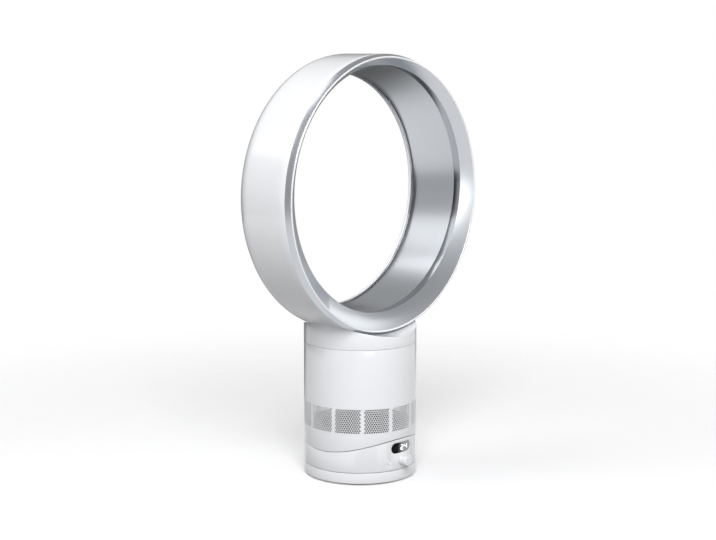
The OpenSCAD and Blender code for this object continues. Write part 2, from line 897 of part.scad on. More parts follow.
module collar_screws() {
    color(steel_c) at_lugs() translate([collar_seat, 0, collar_screw_z]) rotate([0, -90, 0])
        screw(small_head_r, small_head_t, small_screw_r, small_screw_len);
}

module neck_o_ring() {
    color(rubber_c) translate([0, 0, neck_seam_z + o_ring_rise]) rotate_extrude()
        translate([bore_r - gap - o_ring_r, 0]) circle(r = o_ring_r, $fn = cord_fn);
}

// Rotor

// The space that the blades sweep, between hub and shroud
module blade_space() {
    rotate_extrude() polygon([
        [hub_nose_r, hub_low], [eye_r - blade_gap, hub_low], [eye_r - blade_gap, eye_high],
        [impeller_r, hub_high], [bucket_r - over, hub_high], [hub_nose_r, hub_low + over]
    ]);
}

module impeller() {
    color(grey_c) translate([0, 0, housing_z]) difference() {
        union() {
            rotate_extrude() polygon([
                [0, hub_low], [hub_nose_r, hub_low], [bucket_r, hub_high],
                [bucket_r, hub_high + hub_back_t], [0, hub_high + hub_back_t]
            ]);
            intersection() {
                blade_space();
                for (i = [0:impeller_blades - 1]) rotate([0, 0, i * 360 / impeller_blades])
                    translate([0, impeller_r, 0]) difference() {
                        translate([0, 0, hub_low]) cylinder(r = impeller_r, h = hub_high - hub_low);
                        rod(impeller_r - blade_t, hub_low - over, hub_high + over);
                        translate([-base_d, -base_r, hub_low - over])
                            cube([base_d, base_d, hub_high - hub_low + 2 * over]);
                        translate([-over, 0, hub_low - over])
                            cube([base_d, base_d, hub_high - hub_low + 2 * over]);
                    }
            }
        }
        rod(shaft_r, hub_low - over, hub_high + hub_back_t + over);
    }
}

module rotor_magnet() {
    color(steel_c) translate([0, 0, housing_z]) tube(magnet_r, shaft_r, magnet_low, magnet_low + magnet_h);
}

module motor_shaft() {
    color(steel_c) translate([0, 0, housing_z]) rod(shaft_r, hub_low - over, cap_low + cap_t - gap);
}

// Ring nozzle

neck_low = neck_seam_z + neck_gap;
roof_r = ring_r + ledge_gap + shell_t;
back_centre_f = rear_round - ring_rear;
back_in_r = min(ring_r - rear_round, lip_r - lift_rear) - over;
function back_arc(r, a) = [ring_r - rear_round + r * cos(a), back_centre_f - r * sin(a)];

module outer_casing() {
    color(white_c) {
        difference() {
            union() {
                ring_frame() rotate_extrude() polygon(concat(
                    [[ring_r, nose_seam]],
                    [for (a = [0:arc_step_angle:90]) back_arc(rear_round, a)],
                    [[back_in_r, -ring_rear], [back_in_r, shell_t - ring_rear]],
                    [for (a = [90:-arc_step_angle:0]) back_arc(rear_round - shell_t, a)],
                    [[ring_r - shell_t, nose_seam]]
                ));
                difference() {
                    rod(base_r, neck_low, ring_z);
                    ring_frame() rod(ring_r - shell_t / 2, -base_d, nose_seam);
                    ring_frame() rod(ring_r + ledge_gap, nose_seam - sheet, base_d);
                }
            }
            difference() {
                rod(bore_r, neck_low - over, ring_z);
                ring_frame() rod(roof_r, -base_d, base_d);
            }
            for (x = [-duct_x, duct_x]) translate([x, 0, ring_z - roof_r - over])
                cylinder(r = duct_r, h = roof_r - ring_r + duct_top);
            translate([-duct_x, -duct_r, ring_z - roof_r - over])
                cube([2 * duct_x, 2 * duct_r, roof_r - ring_r + duct_top]);
            ring_frame(lift_rear) rod(lip_r, -ring_rear - over, -ring_rear + rear_round);
        }
        ring_frame(lift_rear) tube(lip_r + lip_t, lip_r, shell_t / 2 - ring_rear, lip_front);
        at_lugs() sector(bore_r + shell_t / 2, bore_r - lug_depth, lug_z, lug_z + lug_h, 0,
            2 * lug_half_angle);
    }
}

module inner_casing() {
    color(silver_c) {
        ring_frame() difference() {
            lifted_cone(throat_r + skin_t - join_step, throat_f, lift_rear, guide_r + skin_t,
                guide_back, lift_front, over);
            lifted_cone(throat_r + join_step, throat_f, lift_rear, guide_r, guide_back, lift_front,
                2 * over, over);
        }
        ring_frame(lift_rear) rotate_extrude() polygon(concat(
            [for (i = [0:coanda_steps]) let (f = throat_f + (tip_f - throat_f) * i / coanda_steps)
                [coanda(f), f]],
            [[coanda(tip_f) + tip_t, tip_f], [throat_r + skin_t, throat_f]]
        ));
    }
}

module nose_rim() {
    color(silver_c) ring_frame() difference() {
        union() {
            rotate_extrude() polygon([
                [ring_r, nose_seam], [ridge_r, ring_front], [ridge_r - skin_t, ring_front],
                [ring_r - shell_t - tongue_t, nose_seam],
                [ring_r - shell_t - tongue_t, nose_seam - seam_tongue],
                [ring_r - shell_t, nose_seam - seam_tongue], [ring_r - shell_t, nose_seam]
            ]);
            difference() {
                union() {
                    lifted_cone(guide_r + skin_t + join_step, guide_front, lift_front,
                        ridge_r - ridge_w / 2, ring_front, 0);
                    translate([0, lift_front, 0]) rod(guide_r + skin_t, guide_back, guide_front + over);
                }
                translate([0, lift_front, 0]) rod(guide_r, guide_back - over, guide_front + over);
            }
        }
        lifted_cone(guide_r + join_step, guide_front, lift_front, ridge_r - ridge_w, ring_front, 0,
            over, over);
    }
}

module slot_spacers() {
    color(silver_c) ring_frame(lift_rear) for (i = [0:spacer_count - 1])
        rotate([0, 0, (i + 1 / 2) * 360 / spacer_count]) rotate_extrude(angle = spacer_angle) polygon([
            [lip_r + lip_t, tip_f], [coanda(tip_f), tip_f], [coanda(lip_front), lip_front],
            [lip_r + lip_t, lip_front]
        ]);
}

module joint_gasket() {
    color(rubber_c) ring_frame() tube(ring_r - shell_t, ring_r - shell_t - tongue_t,
        nose_seam - seam_tongue - gasket_t, nose_seam - seam_tongue);
}

foot_pad();
foot_plate();
power_socket();
pivot_post();
pivot_screws();
sun_gear();
bearing_ring();
pivot_retainer();
swivel_deck();
control_housing();
deck_screws();
oscillation_motor();
motor_bracket();
drive_pinion();
control_board();
display_module();
display_window();
dial_encoder();
tact_switches();
speed_dial();
power_button();
oscillation_button();
tilt_saddle();
saddle_screws();
tilt_runners();
runner_screws();
tilt_cradle();
main_casing();
inlet_mesh();
floor_plate();
intake_foam();
impeller_housing();
housing_seal();
housing_screws();
diffuser();
motor_bucket();
motor_bearings();
motor_mounts();
motor_stator();
bearing_cap();
drive_board();
tail_cone();
outlet_foam();
neck_collar();
collar_screws();
neck_o_ring();
impeller();
rotor_magnet();
motor_shaft();
outer_casing();
inner_casing();
nose_rim();
slot_spacers();
joint_gasket();
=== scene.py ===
"""Looks of a bladeless desk fan: glossy white shells, a silver air ring, a perforated inlet band,
a smoked display window, a speed dial and two push buttons.

Shapes are built in millimetres, in the CAD model's frame (x to the right, -y to the front, z up),
and put() turns each finished piece to metres. "Forward" is the distance in front of the base's axis.
"""

import json
import math

import bmesh
import bpy
from mathutils import Matrix, Vector


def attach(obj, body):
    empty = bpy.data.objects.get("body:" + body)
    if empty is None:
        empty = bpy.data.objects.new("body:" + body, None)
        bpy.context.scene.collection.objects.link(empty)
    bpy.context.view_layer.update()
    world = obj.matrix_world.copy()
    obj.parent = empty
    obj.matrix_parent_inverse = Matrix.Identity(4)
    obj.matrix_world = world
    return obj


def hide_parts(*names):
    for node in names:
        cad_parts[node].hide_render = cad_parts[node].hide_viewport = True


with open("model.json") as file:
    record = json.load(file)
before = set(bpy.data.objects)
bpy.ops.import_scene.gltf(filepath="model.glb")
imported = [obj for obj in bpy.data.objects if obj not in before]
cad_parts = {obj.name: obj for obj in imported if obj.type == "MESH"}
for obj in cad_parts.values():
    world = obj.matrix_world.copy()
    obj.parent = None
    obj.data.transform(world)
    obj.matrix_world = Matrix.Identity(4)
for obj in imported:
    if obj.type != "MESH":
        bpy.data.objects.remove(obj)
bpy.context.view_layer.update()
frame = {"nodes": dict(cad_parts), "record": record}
scene = bpy.context.scene

# The camera comes first, at the photograph's viewing angle
camera = bpy.data.objects.new("camera", bpy.data.cameras.new("camera"))
scene.collection.objects.link(camera)
camera.location = (-1.3950, -1.2849, 0.5472)
camera.rotation_euler = (math.radians(81.61), 0, math.radians(-47.27))
camera.data.sensor_width = 36
camera.data.lens = 74.10
scene.camera = camera
scene.view_settings.view_transform = "Standard"

# Sizes shared with the CAD source, in millimetres
BASE_R = 73.5
SHELL_T = 2.2
BORE_R = BASE_R - SHELL_T
TILT_AXIS_Z = 221.5
CRADLE_R = 180.6
NECK_SEAM_Z = 175
NECK_GAP = 0.4
INLET_Z, INLET_H, INLET_PANELS, INLET_STRIP = 67, 32, 12, 3.3
RING_R = 178
RING_Z = 368
NOSE_SEAM = 42.0
RING_FRONT = 50.7
RING_REAR = 49.4
REAR_ROUND = 26
SKIN_T = 2
LEDGE_GAP = 0.3
CONTROLS_Z, BUTTON_X, BUTTON_R, BUTTON_OUT = 27.2, 20.9, 3.25, 0.9
DIAL_R, DIAL_OUT = 6.25, 11
WINDOW_W, WINDOW_H, WINDOW_Z = 36.3, 13.8, 44.2

# The ring's bands and its slot. They were measured once more in the photograph after the CAD source
# was packed, so some of them differ from it, by up to 4 mm.
RIDGE_R, RIDGE_W = 174.9, 1.7
GUIDE_R, GUIDE_FRONT, GUIDE_BACK = 157.6, 38.3, 27.5
THROAT_R, THROAT_FORWARD = 151.2, -33.0
LIFT_FRONT, LIFT_REAR = 6.5, 1.8
LIP_R, LIP_T, LIP_FRONT, LIP_SILVER = 152.2, 0.8, -41.6, -44.6
TIP_FORWARD, TIP_T, TIP_RISE, TIP_TURN = -46.2, 0.8, 3.8, -43.6

# The nose: how far its white edge, a painted highlight along the ridge, stands in front of the silver beside
# it, the thickness of its wall, and the length of the tongue that reaches into the casing
EDGE_RISE, NOSE_WALL, TONGUE = 0.8, 4.2, 4
# Where the bevel's hidden inner face turns: inside the ridge, and behind the front
BEVEL_TURN_IN, BEVEL_TURN_BACK = 2.2, 3.2
# The height of the neck's inner wall, and the hairline between two pieces of the ring
NECK_INNER_H = 12
HAIRLINE = 0.05
# How far the window lies below the wall round it, and its gap on both sides together
WINDOW_SINK, WINDOW_GAP = 0.1, 0.5

RING_SEGMENTS = 288
BASE_SEGMENTS = 288


# ---------------------------------------------------------------- materials

def srgb(code):
    """A hex colour as the shader's own linear values."""
    parts = [int(code[i:i + 2], 16) / 255 for i in (1, 3, 5)]
    return (*[c / 12.92 if c <= 0.04045 else ((c + 0.055) / 1.055) ** 2.4 for c in parts], 1)


def add(tree, kind, settings=None, links=None):
    """Adds a node, sets its properties or inputs, and links sockets to its inputs."""
    node = tree.nodes.new(kind)
    for key, value in (settings or {}).items():
        if isinstance(key, int) or key in node.inputs:
            node.inputs[key].default_value = value
        else:
            setattr(node, key, value)
    for key, socket in (links or {}).items():
        tree.links.new(socket, node.inputs[key])
    return node


def per_mm(size):
    """The texture scale that gives a pattern this many millimetres across."""
    return 1000 / size


def start_material(name, shader_settings):
    """A new material with its node tree, its shader, and the place on the piece that patterns read."""
    material = bpy.data.materials.new(name)
    material.use_nodes = True
    tree = material.node_tree
    tree.nodes.clear()
    shader = add(tree, "ShaderNodeBsdfPrincipled", shader_settings)
    add(tree, "ShaderNodeOutputMaterial", links={"Surface": shader.outputs["BSDF"]})
    where = add(tree, "ShaderNodeTexCoord").outputs["Object"]
    return material, tree, shader, where


def dress(tree, shader, tone, rough, bump=None):
    """Gives the shader its colour, its roughness and, where there is any, its relief."""
    tree.links.new(tone.outputs[2], shader.inputs["Base Color"])
    tree.links.new(rough.outputs["Result"], shader.inputs["Roughness"])
    if bump:
        tree.links.new(bump.outputs["Normal"], shader.inputs["Normal"])


def moulded(name, light, dark, gloss, matt, grain, depth, **shader_settings):
    """An injection-moulded plastic: a faint drift of tone, and a grain whose hollows are a little duller."""
    material, tree, shader, where = start_material(name, shader_settings)
    drift = add(tree, "ShaderNodeTexNoise", {"Scale": per_mm(45), "Detail": 2.0}, {"Vector": where})
    tone = add(tree, "ShaderNodeMix", {"data_type": "RGBA", 6: srgb(light), 7: srgb(dark)},
               {0: drift.outputs["Fac"]})
    skin = add(tree, "ShaderNodeTexNoise", {"Scale": per_mm(grain), "Detail": 3.0}, {"Vector": where})
    rough = add(tree, "ShaderNodeMapRange", {"To Min": gloss, "To Max": matt}, {"Value": skin.outputs["Fac"]})
    bump = add(tree, "ShaderNodeBump", {"Strength": 1.0, "Distance": depth / 1000},
               {"Height": skin.outputs["Fac"]})
    dress(tree, shader, tone, rough, bump)
    return material


# Gloss ABS from a polished mould: bright even white, clear reflections, a trace of orange peel
gloss_white_abs = moulded("gloss_white_abs", "#F6F7F9", "#F1F2F5", 0.10, 0.18, 3.0, 0.004,
                          **{"IOR": 1.53, "Coat Weight": 0.3, "Coat Roughness": 0.06})

# The same ABS where it is punched: a slightly greyer white, as painted shade between the holes, and duller
punched_white_abs = moulded("punched_white_abs", "#F2F3F5", "#ECEDF0", 0.25, 0.4, 1.5, 0.004, **{"IOR": 1.53})

# Black glass-filled nylon, spark-eroded mould: near black with a soft sheen
black_nylon = moulded("black_nylon", "#1B1C1E", "#242527", 0.45, 0.6, 0.8, 0.02, **{"IOR": 1.53})

# Grey ABS from a textured mould: an even mid grey that hides marks
grey_abs = moulded("grey_abs", "#6C6E72", "#7A7C80", 0.4, 0.55, 0.9, 0.02, **{"IOR": 1.53})

# Natural acetal, machined gears: creamy, waxy and a little see-through at the edges
natural_acetal = moulded("natural_acetal", "#E7E4DA", "#DCD8CC", 0.28, 0.4, 2.0, 0.008,
                         **{"IOR": 1.48, "Subsurface Weight": 0.15, "Subsurface Scale": 0.002})


def silver_lacquer(name, light, dark, gloss, matt):
    """Metallic lacquer on ABS: satin silver whose fine flakes sparkle, under a thin clear coat."""
    material, tree, shader, where = start_material(
        name, {"Metallic": 1.0, "Coat Weight": 0.25, "Coat Roughness": 0.12})
    # Real flakes are 0.05 mm; they are drawn 0.9 mm across so that they show in the render
    flakes = add(tree, "ShaderNodeTexVoronoi", {"Scale": per_mm(0.9)}, {"Vector": where})
    flake_tone = add(tree, "ShaderNodeSeparateColor", links={"Color": flakes.outputs["Color"]})
    drift = add(tree, "ShaderNodeTexNoise", {"Scale": per_mm(60), "Detail": 2.0}, {"Vector": where})
    blend = add(tree, "ShaderNodeMath", {"operation": "MULTIPLY_ADD", 1: 0.6},
                {0: flake_tone.outputs["Red"], 2: drift.outputs["Fac"]})
    tone = add(tree, "ShaderNodeMix", {"data_type": "RGBA", 6: srgb(light), 7: srgb(dark)},
               {0: blend.outputs["Value"]})
    rough = add(tree, "ShaderNodeMapRange", {"To Min": gloss, "To Max": matt},
                {"Value": flake_tone.outputs["Green"]})
    dress(tree, shader, tone, rough)
    return material


def soft_rubber():
    """Black silicone rubber, moulded matt: it takes up dust and shows only a wide dull highlight."""
    material, tree, shader, where = start_material("soft_rubber", {"IOR": 1.45})
    dust = add(tree, "ShaderNodeTexNoise", {"Scale": per_mm(6), "Detail": 4.0}, {"Vector": where})
    tone = add(tree, "ShaderNodeMix", {"data_type": "RGBA", 6: srgb("#1C1C1D"), 7: srgb("#2C2C2D")},
               {0: dust.outputs["Fac"]})
    rough = add(tree, "ShaderNodeMapRange", {"To Min": 0.65, "To Max": 0.85}, {"Value": dust.outputs["Fac"]})
    bump = add(tree, "ShaderNodeBump", {"Distance": 0.00002}, {"Height": dust.outputs["Fac"]})
    dress(tree, shader, tone, rough, bump)
    return material


def acoustic_foam():
    """Open-cell polyether foam, cut: charcoal, with 1.2 mm pores painted darker in their middles as shade."""
    material, tree, shader, where = start_material("acoustic_foam", {"IOR": 1.4})
    pores = add(tree, "ShaderNodeTexVoronoi", {"Scale": per_mm(1.2)}, {"Vector": where})
    # Painted shade: the pores are darker towards their middles
    depth = add(tree, "ShaderNodeMapRange", {"From Max": 0.6}, {"Value": pores.outputs["Distance"]})
    tone = add(tree, "ShaderNodeMix", {"data_type": "RGBA", 6: srgb("#151617"), 7: srgb("#44464A")},
               {0: depth.outputs["Result"]})
    rough = add(tree, "ShaderNodeMapRange", {"To Min": 0.85, "To Max": 1.0},
                {"Value": pores.outputs["Distance"]})
    bump = add(tree, "ShaderNodeBump", {"Distance": 0.0004}, {"Height": pores.outputs["Distance"]})
    dress(tree, shader, tone, rough, bump)
    return material


def zinc_plated_steel():
    """Zinc-plated steel, turned: cool grey metal with a faint 0.3 mm lathe line and cloudy plating."""
    material, tree, shader, where = start_material("zinc_plated_steel", {"Metallic": 1.0})
    cloud = add(tree, "ShaderNodeTexNoise", {"Scale": per_mm(8), "Detail": 3.0}, {"Vector": where})
    lines = add(tree, "ShaderNodeTexWave", {"bands_direction": "Z", "Scale": per_mm(0.3) / 20,
                                            "Distortion": 0.4}, {"Vector": where})
    tone = add(tree, "ShaderNodeMix", {"data_type": "RGBA", 6: srgb("#A9ACB1"), 7: srgb("#C3C5C8")},
               {0: cloud.outputs["Fac"]})
    rough = add(tree, "ShaderNodeMapRange", {"To Min": 0.25, "To Max": 0.42}, {"Value": cloud.outputs["Fac"]})
    bump = add(tree, "ShaderNodeBump", {"Strength": 0.4, "Distance": 0.00001},
               {"Height": lines.outputs["Fac"]})
    dress(tree, shader, tone, rough, bump)
    return material


def enamelled_copper():
    """Enamelled copper winding wire, 0.5 mm, laid in layers: warm orange-brown with a varnish shine."""
    material, tree, shader, where = start_material(
        "enamelled_copper", {"Metallic": 1.0, "Coat Weight": 0.6, "Coat Roughness": 0.2})
    turns_and_shade = add(tree, "ShaderNodeTexWave", {"bands_direction": "Z", "Scale": per_mm(0.5) / 20,
                                            "Distortion": 0.6}, {"Vector": where})
    # Painted shade: the tone runs in light and dark bands across the turns, as round wires catch the light;
    # the bands also give the turns' relief
    tone = add(tree, "ShaderNodeMix", {"data_type": "RGBA", 6: srgb("#6E3A1E"), 7: srgb("#B8683A")},
               {0: turns_and_shade.outputs["Fac"]})
    rough = add(tree, "ShaderNodeMapRange", {"To Min": 0.3, "To Max": 0.42}, {"Value": turns_and_shade.outputs["Fac"]})
    bump = add(tree, "ShaderNodeBump", {"Distance": 0.0002}, {"Height": turns_and_shade.outputs["Fac"]})
    dress(tree, shader, tone, rough, bump)
    return material


def circuit_laminate():
    """Glass-epoxy circuit board under green solder resist: glossy, with a 1 mm glass weave below."""
    material, tree, shader, where = start_material("circuit_laminate", {"IOR": 1.55})
    weave = add(tree, "ShaderNodeTexChecker", {"Scale": per_mm(1.0)}, {"Vector": where})
    cloud = add(tree, "ShaderNodeTexNoise", {"Scale": per_mm(5)}, {"Vector": where})
    mixed = add(tree, "ShaderNodeMath", {"operation": "MULTIPLY_ADD", 1: 0.4},
                {0: weave.outputs["Fac"], 2: cloud.outputs["Fac"]})
    tone = add(tree, "ShaderNodeMix", {"data_type": "RGBA", 6: srgb("#12502B"), 7: srgb("#1C6A3C")},
               {0: mixed.outputs["Value"]})
    rough = add(tree, "ShaderNodeMapRange", {"To Min": 0.2, "To Max": 0.35}, {"Value": cloud.outputs["Fac"]})
    dress(tree, shader, tone, rough)
    return material


def smoked_acrylic():
    """Smoked acrylic, polished: black and mirror-bright, with the faint haze of fine wiping marks."""
    material, tree, shader, where = start_material(
        "smoked_acrylic", {"IOR": 1.49, "Specular IOR Level": 0.1, "Emission Strength": 0.36})
    haze = add(tree, "ShaderNodeTexNoise", {"Scale": per_mm(7), "Detail": 4.0}, {"Vector": where})
    tone = add(tree, "ShaderNodeMix", {"data_type": "RGBA", 6: srgb("#050506"), 7: srgb("#0D0D0F")},
               {0: haze.outputs["Fac"]})
    rough = add(tree, "ShaderNodeMapRange", {"To Min": 0.05, "To Max": 0.14}, {"Value": haze.outputs["Fac"]})
    # A painted glow centred just right of the figures: partly their light through the smoke, partly a painted
    # reflection that lightens the window's right side
    from_glow_centre = add(tree, "ShaderNodeVectorMath", {"operation": "DISTANCE", 1: (0.011, -0.0725, 0.0442)},
                       {0: where})
    glow = add(tree, "ShaderNodeMapRange",
               {"From Min": 0.008, "From Max": 0.0195, "To Min": 1.0, "To Max": 0.0,
                "interpolation_type": "SMOOTHSTEP"}, {"Value": from_glow_centre.outputs["Value"]})
    painted_glow_tone = add(tree, "ShaderNodeMix", {"data_type": "RGBA", 6: srgb("#000000"), 7: srgb("#E8EAEE")},
                    {0: glow.outputs["Result"]})
    tree.links.new(painted_glow_tone.outputs[2], shader.inputs["Emission Color"])
    dress(tree, shader, tone, rough)
    return material


def lit_segment():
    """White light-emitting segments behind the window: a cool glow that drifts a little in strength."""
    material, tree, shader, where = start_material(
        "lit_segment", {"Roughness": 0.4, "Emission Strength": 1.5})
    glow = add(tree, "ShaderNodeTexNoise", {"Scale": per_mm(1.5)}, {"Vector": where})
    tone = add(tree, "ShaderNodeMix", {"data_type": "RGBA", 6: srgb("#D5DAE0"), 7: srgb("#FFFFFF")},
               {0: glow.outputs["Fac"]})
    tree.links.new(tone.outputs[2], shader.inputs["Base Color"])
    tree.links.new(tone.outputs[2], shader.inputs["Emission Color"])
    return material


silver = silver_lacquer("silver_lacquer", "#D7DADE", "#D0D4D9", 0.28, 0.31)
# The guide band and the slot's lip have a deeper, glossier silver, painted darker as shade, which the eye
# sees as a crisp darker line
shaded_silver = silver_lacquer("shaded_silver_lacquer", "#B2B6BB", "#ABAFB5", 0.18, 0.2)
rubber = soft_rubber()
foam = acoustic_foam()
steel = zinc_plated_steel()
copper = enamelled_copper()
laminate = circuit_laminate()
acrylic = smoked_acrylic()
segment_white = lit_segment()

FINISHES = {
    "white_shell": gloss_white_abs, "silver_coat": silver, "dark_inner": black_nylon,
    "grey_inner": grey_abs, "mesh_grey": punched_white_abs, "acetal": natural_acetal,
    "rubber": rubber, "foam": foam, "steel": steel, "winding": copper, "board": laminate,
    "lens": acrylic,
}
SLOT_OF = {part["node"]: part["material_slot"] for part in frame["record"]["subparts"]}
for name, node in frame["nodes"].items():
    node.data.materials.clear()
    node.data.materials.append(FINISHES[SLOT_OF[name]])


# ---------------------------------------------------------------- making pieces

def put(name, bm, body, node, material=None, sharp=30, slot=None):
    """Turns a shape made in millimetres into a finished piece that rides on a body and stands for a CAD node.
    Its material is the one of the slot, unless another is given."""
    bmesh.ops.remove_doubles(bm, verts=bm.verts, dist=0.0005)
    bmesh.ops.recalc_face_normals(bm, faces=bm.faces)
    bmesh.ops.scale(bm, vec=(0.001,) * 3, verts=bm.verts)
    mesh = bpy.data.meshes.new(name)
    bm.to_mesh(mesh)
    bm.free()
    for face in mesh.polygons:
        face.use_smooth = True
    mesh.set_sharp_from_angle(angle=math.radians(sharp))
    slot = slot or SLOT_OF.get(node)
    mesh.materials.append(material or FINISHES[slot])
    piece = bpy.data.objects.new(name, mesh)
    scene.collection.objects.link(piece)
    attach(piece, body)
    if node:
        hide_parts(node)


def soften(bm, edges, width, steps=3):
    """Rounds these edges, as a mould does."""
    bmesh.ops.bevel(bm, geom=edges, offset=width, segments=steps, affect="EDGES", profile=0.5, material=-1)


def corners(bm, least=30):
    """The edges where two faces meet at more than this angle."""
    return [e for e in bm.edges if len(e.link_faces) == 2 and e.calc_face_angle(0) > math.radians(least)]


def ring_wall(sections, rounded):
    """A closed ring-shaped wall through circles, each given as (radius, forward, lift of its centre
    above the ring's centre). rounded names the circles whose edge is softened, and by how much."""
    bm = bmesh.new()
    circles = []
    for radius, forward, lift in sections:
        place = Matrix.Translation((0, -forward, RING_Z + lift)) @ Matrix.Rotation(math.radians(90), 4, "X")
        verts = bmesh.ops.create_circle(bm, segments=RING_SEGMENTS, radius=radius, matrix=place)["verts"]
        circles.append(list({e for v in verts for e in v.link_edges}))
    for first, second in zip(circles, circles[1:] + circles[:1]):
        bmesh.ops.bridge_loops(bm, edges=first + second)
    for index, width in rounded.items():
        soften(bm, circles[index], width)
    return bm


def coanda(forward):
    """Radius of the curved lip over which the air leaves the slot."""
    run = THROAT_FORWARD - TIP_TURN
    bend = (run * run + TIP_RISE * TIP_RISE) / (2 * TIP_RISE)
    return THROAT_R + bend - math.sqrt(bend * bend - (THROAT_FORWARD - forward) ** 2)


# ---------------------------------------------------------------- the ring

def back_arc(radius, angle):
    """A point of the ring's rounded back, as (radius, forward)."""
    a = math.radians(angle)
    return (RING_R - REAR_ROUND + radius * math.cos(a), REAR_ROUND - RING_REAR - radius * math.sin(a))


def make_outer_casing():
    """The white outer wall, its rounded back, the lip that it turns in to, and the neck."""
    outside = [(RING_R, f, 0) for f in (NOSE_SEAM - HAIRLINE, 30, 15, 0, -12)]
    outside += [(*back_arc(REAR_ROUND, a), 0) for a in range(0, 85, 6)]
    lip = [(LIP_R, -RING_REAR, LIFT_REAR), (LIP_R, LIP_SILVER, LIFT_REAR),
           (LIP_R + LIP_T, LIP_SILVER, LIFT_REAR), (LIP_R + LIP_T, SHELL_T - RING_REAR, LIFT_REAR)]
    inside = [(*back_arc(REAR_ROUND - SHELL_T, a), 0) for a in range(78, -1, -13)]
    inside += [(RING_R - SHELL_T, NOSE_SEAM - HAIRLINE, 0)]
    hole = len(outside)
    bm = ring_wall(outside + lip + inside, {0: 0.3, hole: 0.7, hole + 1: 0.35, hole + 2: 0.35})
    add_neck(bm)
    put("outer_shell", bm, "nozzle", "outer_casing")
    seam = LIP_SILVER + HAIRLINE
    tip = ring_wall([(LIP_R, seam, LIFT_REAR), (LIP_R, LIP_FRONT, LIFT_REAR),
                     (LIP_R + LIP_T / 2, LIP_FRONT, LIFT_REAR), (LIP_R + LIP_T, seam, LIFT_REAR)],
                    {1: 0.15, 2: 0.15})
    # The lip's front is drawn in the darker silver, as painted shade
    put("lip_edge", tip, "nozzle", "outer_casing", shaded_silver, slot="silver_coat")


def add_neck(bm):
    """The round neck under the ring. Its top follows the ring, leaves a ledge in front of it and behind it,
    and reaches in under it as far as its rounded back does."""
    def top(x, forward):
        """Height of the neck's top: just under the ring in front, and inside the ring's wall behind that."""
        reach = RING_R + LEDGE_GAP if forward > NOSE_SEAM else RING_R - SHELL_T / 2
        return RING_Z - math.sqrt(reach * reach - x * x)

    foot = NECK_SEAM_Z + NECK_GAP
    rows = [(BORE_R, foot + NECK_INNER_H, False), (BORE_R, foot, False), (BASE_R, foot, False),
            (BASE_R, None, True)]
    # The top is made of circles, closest together at its rim, which is the part that shows
    rows += [(BASE_R - step, None, True) for step in (1.2, 3, *range(6, 55, 4))]
    circles = []
    for radius, z, follows in rows:
        verts = bmesh.ops.create_circle(bm, segments=BASE_SEGMENTS, radius=radius)["verts"]
        for v in verts:
            v.co.z = top(v.co.x, -v.co.y) if follows else z
        circles.append(list({e for v in verts for e in v.link_edges}))
    for first, second in zip(circles, circles[1:]):
        bmesh.ops.bridge_loops(bm, edges=first + second)
    soften(bm, circles[2], 0.25)
    soften(bm, circles[3], 0.35)


def make_nose():
    """The silver front of the ring: an outer band and a bevel, parted by a thin white edge that is a painted
    highlight along the ridge, and the guide band behind the bevel, painted darker as shade."""
    shoulder = RING_FRONT - EDGE_RISE
    seam, tongue_end = NOSE_SEAM + HAIRLINE, NOSE_SEAM - TONGUE
    tongue_r = RING_R - SHELL_T - HAIRLINE
    band = ring_wall([
        (RING_R, seam, 0), (RIDGE_R + 0.15, shoulder, 0), (RIDGE_R - RIDGE_W - 0.6, shoulder, 0),
        (GUIDE_R, GUIDE_FRONT, LIFT_FRONT), (GUIDE_R + SKIN_T, GUIDE_FRONT, LIFT_FRONT),
        (RIDGE_R - BEVEL_TURN_IN, RING_FRONT - BEVEL_TURN_BACK, 0), (RING_R - NOSE_WALL, NOSE_SEAM, 0),
        (RING_R - NOSE_WALL, tongue_end, 0), (tongue_r, tongue_end, 0), (tongue_r, seam, 0)],
        {0: 0.3, 1: 0.2, 3: 0.15})
    put("nose_band", band, "nozzle", "nose_rim")
    # The white edge is a painted highlight: white plastic stands in for the light that the rounded silver
    # ridge catches
    edge = ring_wall([
        (RIDGE_R + 0.1, shoulder, 0), (RIDGE_R, RING_FRONT, 0), (RIDGE_R - RIDGE_W, RING_FRONT, 0),
        (RIDGE_R - RIDGE_W - 0.5, shoulder, 0)], {1: 0.4, 2: 0.3})
    put("nose_highlight_edge", edge, "nozzle", "nose_rim", slot="white_shell")
    front, back = GUIDE_FRONT - HAIRLINE, GUIDE_BACK + HAIRLINE
    guide = ring_wall([
        (GUIDE_R, front, LIFT_FRONT), (GUIDE_R, back, LIFT_FRONT),
        (GUIDE_R + SKIN_T, back, LIFT_FRONT), (GUIDE_R + SKIN_T, front, LIFT_FRONT)], {0: 0.15, 1: 0.15})
    # The guide band is drawn in the darker silver, as painted shade
    put("guide_band", guide, "nozzle", "nose_rim", shaded_silver)


def make_inner_wall():
    """The silver wall that the air runs along: from the guide band to the throat, then round to the slot."""
    wall_steps, curve_steps = 12, 10
    wall = []
    for k in range(wall_steps + 1):
        s = k / wall_steps
        wall.append((GUIDE_R + (THROAT_R - GUIDE_R) * s, GUIDE_BACK + (THROAT_FORWARD - GUIDE_BACK) * s,
                     LIFT_FRONT + (LIFT_REAR - LIFT_FRONT) * s))
    curve = []
    for k in range(1, curve_steps + 1):
        f = THROAT_FORWARD + (TIP_TURN - THROAT_FORWARD) * k / curve_steps
        curve.append((coanda(f), f, LIFT_REAR))
    curve.append((coanda(TIP_TURN) + 0.1, TIP_FORWARD, LIFT_REAR))
    back = [(curve[-1][0] + TIP_T, TIP_FORWARD, LIFT_REAR), (THROAT_R + SKIN_T, THROAT_FORWARD, LIFT_REAR),
            (GUIDE_R + SKIN_T, GUIDE_BACK, LIFT_FRONT)]
    bm = ring_wall(wall + curve + back, {len(wall + curve) - 1: 0.25})
    put("inner_wall", bm, "nozzle", "inner_casing")


make_outer_casing()
make_nose()
make_inner_wall()


